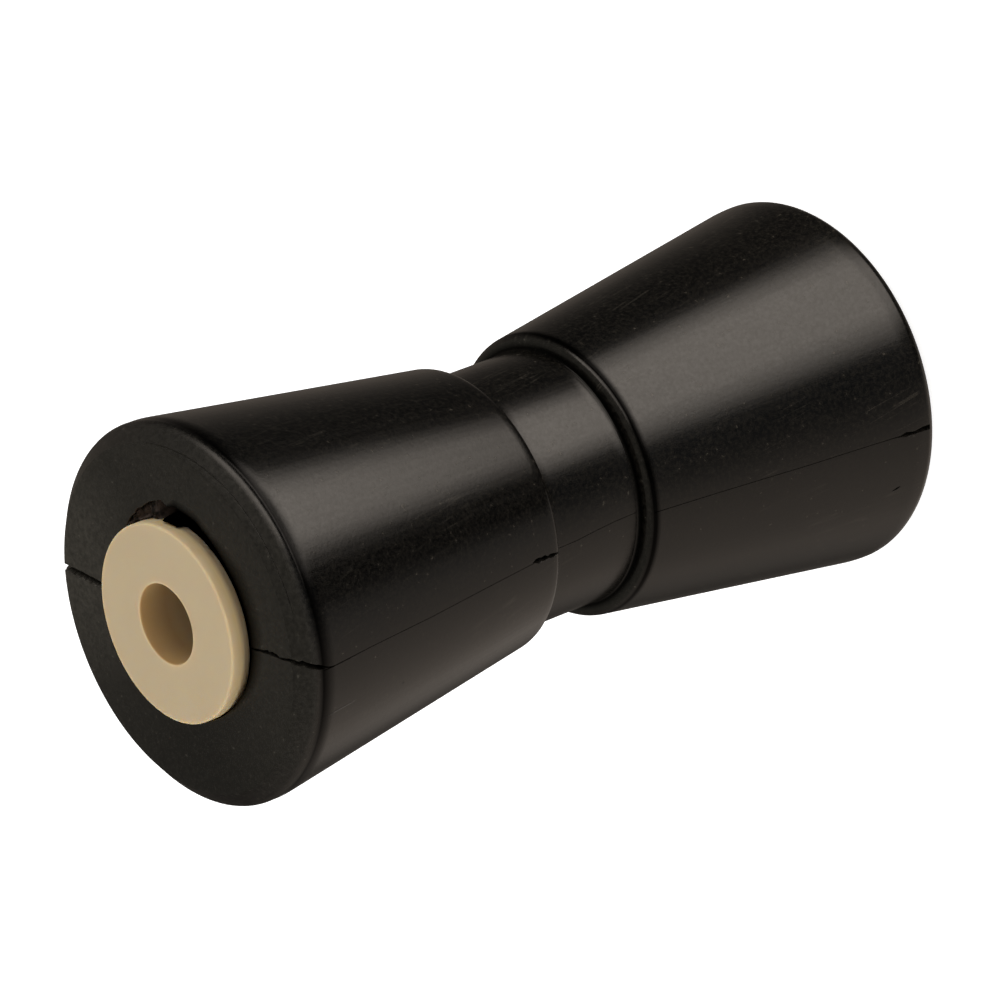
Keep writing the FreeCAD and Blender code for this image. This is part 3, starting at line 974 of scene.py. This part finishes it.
tree.links.new(path.outputs["Is Camera Ray"], switch.inputs[0])
tree.links.new(ring.outputs[0], switch.inputs[1])
tree.links.new(white.outputs[0], switch.inputs[2])
tree.links.new(switch.outputs[0], tree.nodes["World Output"].inputs["Surface"])

# %% [markdown]
# The long bright band on both cones is the picture of one big soft panel. Its edges are soft in the
# photograph, so three panels of different width stand close behind one another and share its brightness.
# It leans a little, because the band is narrower on the near cone, and its lower part, which the near
# cone mirrors, is dimmer and is a set of three of its own. A strip above it gives the near rim its
# highlight. The strip is hidden from diffuse rays, so that it doesn't light the nylon. A ring of screens
# above the flange lights the nylon evenly from all round. Those screens would show as a bright ring in
# the glossy rubber, so glossy rays don't see them.

# %% Lamps
def soft_box(name, azimuth, out, up, width, height, radiance, tint, lean=0.0, roll=0.0):
    """Rectangular lamp facing the axis: distance from it and height above the middle in metres.

    Lean moves its lower edge outwards and roll lifts its side of higher azimuth, both in degrees.
    """
    a = math.radians(azimuth)
    away = Vector((math.cos(a), math.sin(a), 0))
    bpy.ops.object.select_all(action="DESELECT")
    bpy.ops.object.light_add(type="AREA", location=Vector((0, 0, middle + up)) + out * away)
    lamp = bpy.context.object
    lamp.name = name
    lamp.data.shape = "RECTANGLE"
    lamp.data.size = width
    lamp.data.size_y = height
    lamp.data.energy = radiance * math.pi * width * height
    lamp.data.color = tint
    back = away * math.cos(math.radians(lean)) + Vector((0, 0, math.sin(math.radians(lean))))
    lamp.rotation_mode = "QUATERNION"
    lamp.rotation_quaternion = back.to_track_quat("Z", "Y") @ Quaternion((0, 0, 1), math.radians(roll))
    lamp.visible_camera = False
    return lamp


WARM = (1.0, 0.90, 0.80)
PANELS = {
    "upper_panel": {
        "azimuth": 63.8, "out": 0.297, "up": -0.157, "width": 0.334, "height": 0.257, "radiance": 0.94,
    },
    "lower_panel": {
        "azimuth": 65.9, "out": 0.373, "up": -0.397, "width": 0.312, "height": 0.225, "radiance": 0.68,
    },
}
SOFT_EDGE = 0.11
BEHIND = 0.004
SCREENS = 6
for name, settings in PANELS.items():
    for number, grow in enumerate((-SOFT_EDGE, 0.0, SOFT_EDGE)):
        panel = dict(settings, out=settings["out"] + BEHIND * number, width=settings["width"] + grow)
        soft_box(f"{name}_{number}", tint=WARM, lean=17.6, roll=5.2, **panel)
rim_strip = soft_box("rim_strip", azimuth=80, out=0.50, up=0.22, width=0.66, height=0.24, radiance=2.6,
                     tint=WARM, roll=10)
rim_strip.visible_diffuse = False
for number in range(SCREENS):
    screen = soft_box(f"ring_screen_{number}", azimuth=22 + 360 / SCREENS * number, out=0.60, up=0.355,
                      width=0.69, height=0.50, radiance=1.72, tint=(1, 1, 1))
    screen.visible_glossy = False

# %% [markdown]
# ## Hand-over
# Every piece rides on the one body, and the imported solid that it stands for is hidden.

# %% Hand the pieces over
PIECES = (
    (rubber, "rubber_roller", "rubber"),
    (upper_bushing, "upper_bushing", "nylon"),
    (lower_bushing, "lower_bushing", "nylon"),
)
for piece, node, finish in PIECES:
    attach(piece, "root")
    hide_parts(node)

bpy.context.scene.view_settings.view_transform = "Standard"
